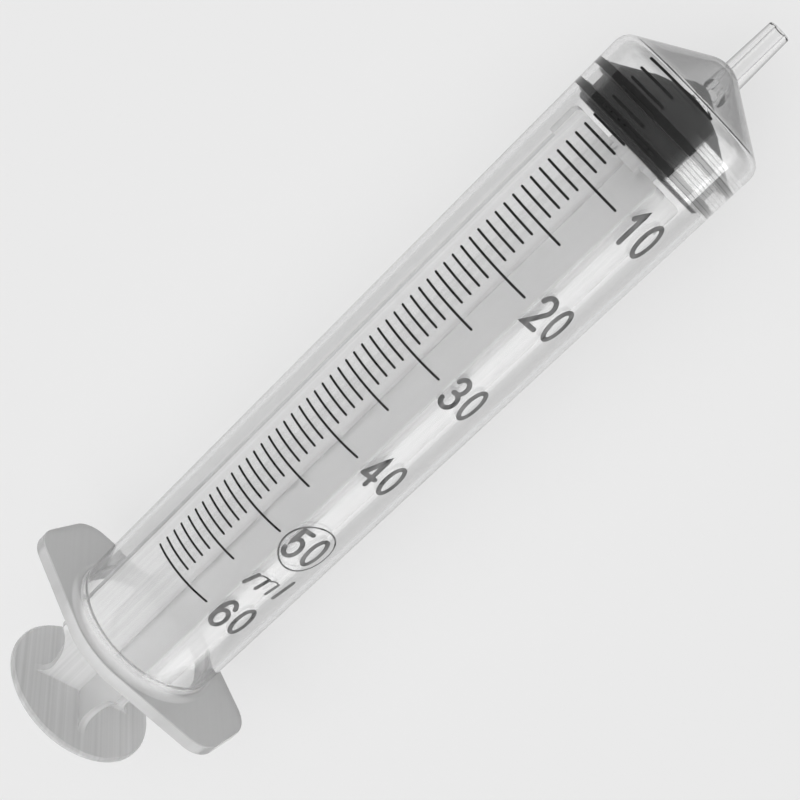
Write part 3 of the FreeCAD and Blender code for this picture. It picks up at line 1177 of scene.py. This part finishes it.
@dataclass
class Barrel:
    """Tube, conical nose, offset nozzle and finger flange, moulded in one. Sizes are in mm."""

    bore_radius: float = 13.38
    outer_radius: float = 14.45
    tube_length: float = 127.4
    mouth: float = -2.2
    mouth_chamfer: float = 0.5
    cone_angle: float = math.radians(60)
    nose_wall: float = 0.9
    tip_round: float = 5.6
    shoulder_round: float = 2.8
    nozzle_drop: float = 7.4
    nozzle_end: float = 144.25
    nozzle_radius: float = 1.965
    nozzle_taper: float = 0.03
    passage_radius: float = 1.05
    flange_fillet: float = 1.15
    hub_radius: float = 15.9
    half_span: float = 24.2
    half_tip: float = 9.34
    corner: float = 5.6
    edge: float = 0.25
    edge_ease: float = 0.3
    bead_place: float = 1.6
    bead_height: float = 0.36
    bead_half: float = 0.9
    overcut: float = 1.0
    fillet_steps: int = 8
    bead_steps: int = 12
    corner_steps: int = 24
    hub_steps: int = 12
    nozzle_segments: int = 96
    passage_segments: int = 64
    lathe: Lathe = field(default_factory=Lathe)

    @property
    def apex(self) -> float:
        """Where the nose's cone would come to a point."""
        return self.tube_length + self.outer_radius / math.tan(self.cone_angle)

    @property
    def inner_apex(self) -> float:
        """Where the cone inside the nose would come to a point."""
        return self.apex - self.nose_wall / math.sin(self.cone_angle)

    @property
    def nozzle_root(self) -> float:
        """Where the nozzle starts, inside the nose's wall."""
        depth = self.nozzle_drop + 2 * self.nozzle_radius
        return self.inner_apex - depth / math.tan(self.cone_angle)

    def build(self) -> bpy.types.Object:
        """Make the barrel and dress it."""
        barrel = self.outside()
        combine(barrel, self.flange(), "UNION")
        combine(barrel, self.nozzle(), "UNION")
        combine(barrel, self.bore(), "DIFFERENCE")
        combine(barrel, self.passage(), "DIFFERENCE")
        barrel.name = "clear_barrel"
        barrel.data.transform(Matrix.Rotation(REST_TURN, 4, "X"))
        tidy_mesh(barrel)
        smooth(barrel)
        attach(barrel, Body.BARREL.value)
        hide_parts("barrel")
        return dress(barrel, BARREL_PLASTIC)

    def outside(self) -> bpy.types.Object:
        """The tube and nose as a full solid, with the fillet at the flange."""
        wall = self.outer_radius
        root = wall + self.flange_fillet
        outline: list[Point] = [(self.mouth / 2, 0.0), (self.mouth / 2, root)]
        for step in range(self.fillet_steps + 1):
            angle = math.radians(90 * step / self.fillet_steps)
            along = self.flange_fillet * (1 - math.cos(angle))
            outline.append((along, root - self.flange_fillet * math.sin(angle)))
        corner = (self.tube_length, wall)
        side = (self.apex, 0.0)
        outline += fillet(corner, (0.0, wall), side, self.shoulder_round, steps=16)
        outline += cone_tip(self.apex, self.cone_angle, self.tip_round)
        return self.lathe.turn("outside", outline)

    def flange(self) -> bpy.types.Object:
        """The flange as a plate with eased edges."""
        eased = self.edge * self.edge_ease
        rings = (
            (self.mouth, -self.edge),
            (self.mouth + eased, -eased),
            (self.mouth + self.edge, 0.0),
            (-self.edge, 0.0),
            (-eased, -eased),
            (0.0, -self.edge),
        )
        verts: list[Place] = []
        for along, grow in rings:
            verts.extend((along * MM, y * MM, z * MM) for y, z in self.flange_line(grow))
        count = len(verts) // len(rings)
        faces = [list(reversed(range(count))), [count * (len(rings) - 1) + i for i in range(count)]]
        for ring in range(len(rings) - 1):
            here, ahead = count * ring, count * (ring + 1)
            for i in range(count):
                j = (i + 1) % count
                faces.append([here + i, here + j, ahead + j, ahead + i])
        return make_piece("flange", verts, faces)

    def flange_line(self, grow: float) -> list[Point]:
        """The flange's outline, across the syringe.

        Args:
            grow: How far it is moved out, in mm.

        Returns:
            The outline's points along Y and Z.
        """
        centre = (self.half_span - self.corner, self.half_tip - self.corner)
        lean = math.atan2(centre[1], centre[0])
        lean += math.acos((self.hub_radius - self.corner) / math.hypot(*centre))
        quarter = []
        reach = self.corner + grow
        for step in range(self.corner_steps + 1):
            angle = lean * step / self.corner_steps
            y = centre[0] + reach * math.cos(angle)
            quarter.append((y, centre[1] + reach * math.sin(angle)))
        reach = self.hub_radius + grow
        for step in range(self.hub_steps + 1):
            angle = lean + (math.pi / 2 - lean) * step / self.hub_steps
            quarter.append((reach * math.cos(angle), reach * math.sin(angle)))
        half = quarter + [(-y, z) for y, z in reversed(quarter[:-1])]
        return half + [(-y, -z) for y, z in half]

    def nozzle(self) -> bpy.types.Object:
        """The tapered nozzle as a full solid."""
        root = self.nozzle_root
        grown = self.nozzle_radius + (self.nozzle_end - root) * self.nozzle_taper
        rim, middle = (self.nozzle_end, self.nozzle_radius), (self.nozzle_end, 0.0)
        outline = [(root, 0.0), (root, grown)]
        outline += fillet(rim, (root, grown), middle, self.edge, steps=5)
        outline.append(middle)
        return Lathe(self.nozzle_segments).turn("nozzle", outline, self.nozzle_drop)

    def bore(self) -> bpy.types.Object:
        """What is cut out of the inside, leaving the stop bead and the mouth's bevel."""
        wall = self.bore_radius
        start, widened = self.mouth - self.overcut, wall + self.mouth_chamfer
        outline: list[Point] = [(start, 0.0), (start, widened), (self.mouth, widened)]
        outline.append((self.mouth + self.mouth_chamfer, wall))
        crest = wall - self.bead_height
        for step in range(self.bead_steps + 1):
            share = step / self.bead_steps * 2 - 1
            rise = (1 + math.cos(math.pi * share)) / 2
            outline.append((self.bead_place + self.bead_half * share, wall + (crest - wall) * rise))
        corner = (self.inner_apex - wall / math.tan(self.cone_angle), wall)
        side, inner_round = (self.inner_apex, 0.0), self.shoulder_round - self.nose_wall
        outline += fillet(corner, (0.0, wall), side, inner_round, steps=12)
        outline += cone_tip(self.inner_apex, self.cone_angle, self.tip_round - self.nose_wall)
        return self.lathe.turn("bore", outline)

    def passage(self) -> bpy.types.Object:
        """The hole through the nozzle."""
        root, end = self.nozzle_root - self.overcut / 2, self.nozzle_end + self.overcut
        outline = [(root, 0.0), (root, self.passage_radius), (end, self.passage_radius), (end, 0.0)]
        return Lathe(self.passage_segments).turn("passage", outline, self.nozzle_drop)


@dataclass
class Stopper:
    """Rubber stopper whose two rings press against the bore. Sizes are in mm."""

    back: float = 116.6
    front: float = 123.0
    seal_radius: float = 13.39
    ring_width: float = 1.6
    ring_pitch: float = 4.0
    ring_round: float = 0.25
    skirt_radius: float = 12.6
    skirt_edge: float = 0.4
    recess_radius: float = 12.1
    crown_radius: float = 13.0
    crown_round: float = 4.0
    cone_angle: float = math.radians(60)
    socket_neck: float = 4.86
    socket_radius: float = 7.46
    socket_back: float = 118.6
    socket_rim: float = 121.72
    socket_flat: float = 3.0
    lathe: Lathe = field(default_factory=Lathe)

    def build(self) -> bpy.types.Object:
        """Make the stopper and dress it."""
        slope = (self.socket_radius - self.socket_flat) / math.tan(self.cone_angle)
        back_radius = self.skirt_radius - self.skirt_edge
        outline: list[Point] = [(self.back, self.socket_neck), (self.back, back_radius)]
        outline.append((self.back + self.skirt_edge, self.skirt_radius))
        fronts = (self.front - self.ring_pitch, self.front)
        levels = (self.skirt_radius, self.recess_radius, self.crown_radius)
        for front, behind, ahead in zip(fronts, levels, levels[1:]):
            outline += self.ring(front, behind, ahead)
        apex = self.front + self.crown_radius / math.tan(self.cone_angle)
        outline += cone_tip(apex, self.cone_angle, self.crown_round)
        outline.append((self.socket_rim + slope, 0.0))
        outline.append((self.socket_rim + slope, self.socket_flat))
        outline.append((self.socket_rim, self.socket_radius))
        outline.append((self.socket_back, self.socket_radius))
        outline.append((self.socket_back, self.socket_neck))
        stopper = self.lathe.turn("rubber_stopper", outline)
        smooth(stopper)
        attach(stopper, Body.STOPPER.value)
        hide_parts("stopper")
        return dress(stopper, RUBBER)

    def ring(self, front: float, behind: float, ahead: float) -> list[Point]:
        """One sealing ring with rounded shoulders.

        Args:
            front: The ring's front along X.
            behind: The stopper's radius behind the ring.
            ahead: The stopper's radius ahead of it.

        Returns:
            The ring's outline.
        """
        back = front - self.ring_width
        top = self.seal_radius
        found: list[Point] = [(back, behind)]
        found += fillet((back, top), (back, behind), (front, top), self.ring_round, steps=5)
        found += fillet((front, top), (back, top), (front, ahead), self.ring_round, steps=5)
        found.append((front, ahead))
        return found


BARREL_PLASTIC = ClearPlastic(
    "barrel_clear",
    tones=(0.85, 0.98),
    clear_shares=(0.35, 0.993),
    clearing=(-0.4, 2.6),
    # Depth of the painted shade where the tube and the nose are seen edge on.
    rim_depths=(0.24, 0.85),
    roughness=(0.02, 0.06),
    streak_depth=1.6e-5,
    # Where the painted highlight's mirroring coat lies along X, over the stopper.
    oil_film=(116.9, 124.6),
    ior=1.43,
)
ROD_PLASTIC = ClearPlastic(
    "rod_cloudy",
    tones=(0.86, 0.98),
    clear_shares=(0.35, 0.62),
    clearing=(-17.3, -3.0),
    # Depth of the painted shade where the rod is seen edge on.
    rim_depths=(0.05, 0.05),
    roughness=(0.08, 0.14),
    streak_depth=3e-6,
    line_depth=0.14,
    ior=1.3,
)
RUBBER = OpaqueFinish("black_rubber", (0.006, 0.014), (0.45, 0.62), 900.0, 4e-6, gloss=0.2)
TICK_INK = OpaqueFinish("black_ink", (0.008, 0.02), (0.25, 0.4), 1500.0, 1e-6)
FIGURE_INK = OpaqueFinish("grey_ink", (0.03, 0.20), (0.25, 0.4), 700.0, 1e-6, (0.4, 1, 1))


def dress_rod() -> None:
    """Give the frame's own plunger rod its finish."""
    rod = dress(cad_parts["plunger_rod"], ROD_PLASTIC)
    LOG.info("plunger_rod finished as %s", ROD_PLASTIC.name)


def report(pieces: Iterable[bpy.types.Object]) -> None:
    """Say how many faces each piece has."""
    for piece in pieces:
        LOG.info("%s: %d faces", piece.name, len(piece.data.polygons))


def main() -> None:
    """Build the scene in order."""
    logging.basicConfig(level=logging.INFO, format="%(message)s")
    PhotoCamera().build()
    Studio().build()
    dress_rod()
    report([Barrel().build(), Stopper().build()])
    report(PrintedScale().build())
    bpy.context.scene.view_settings.view_transform = "Standard"
    bpy.context.scene.cycles.max_bounces = LIGHT_BOUNCES
    bpy.context.scene.cycles.transmission_bounces = LIGHT_BOUNCES
    bpy.context.scene.cycles.transparent_max_bounces = CLEAR_BOUNCES


if __name__ == "__main__":
    main()
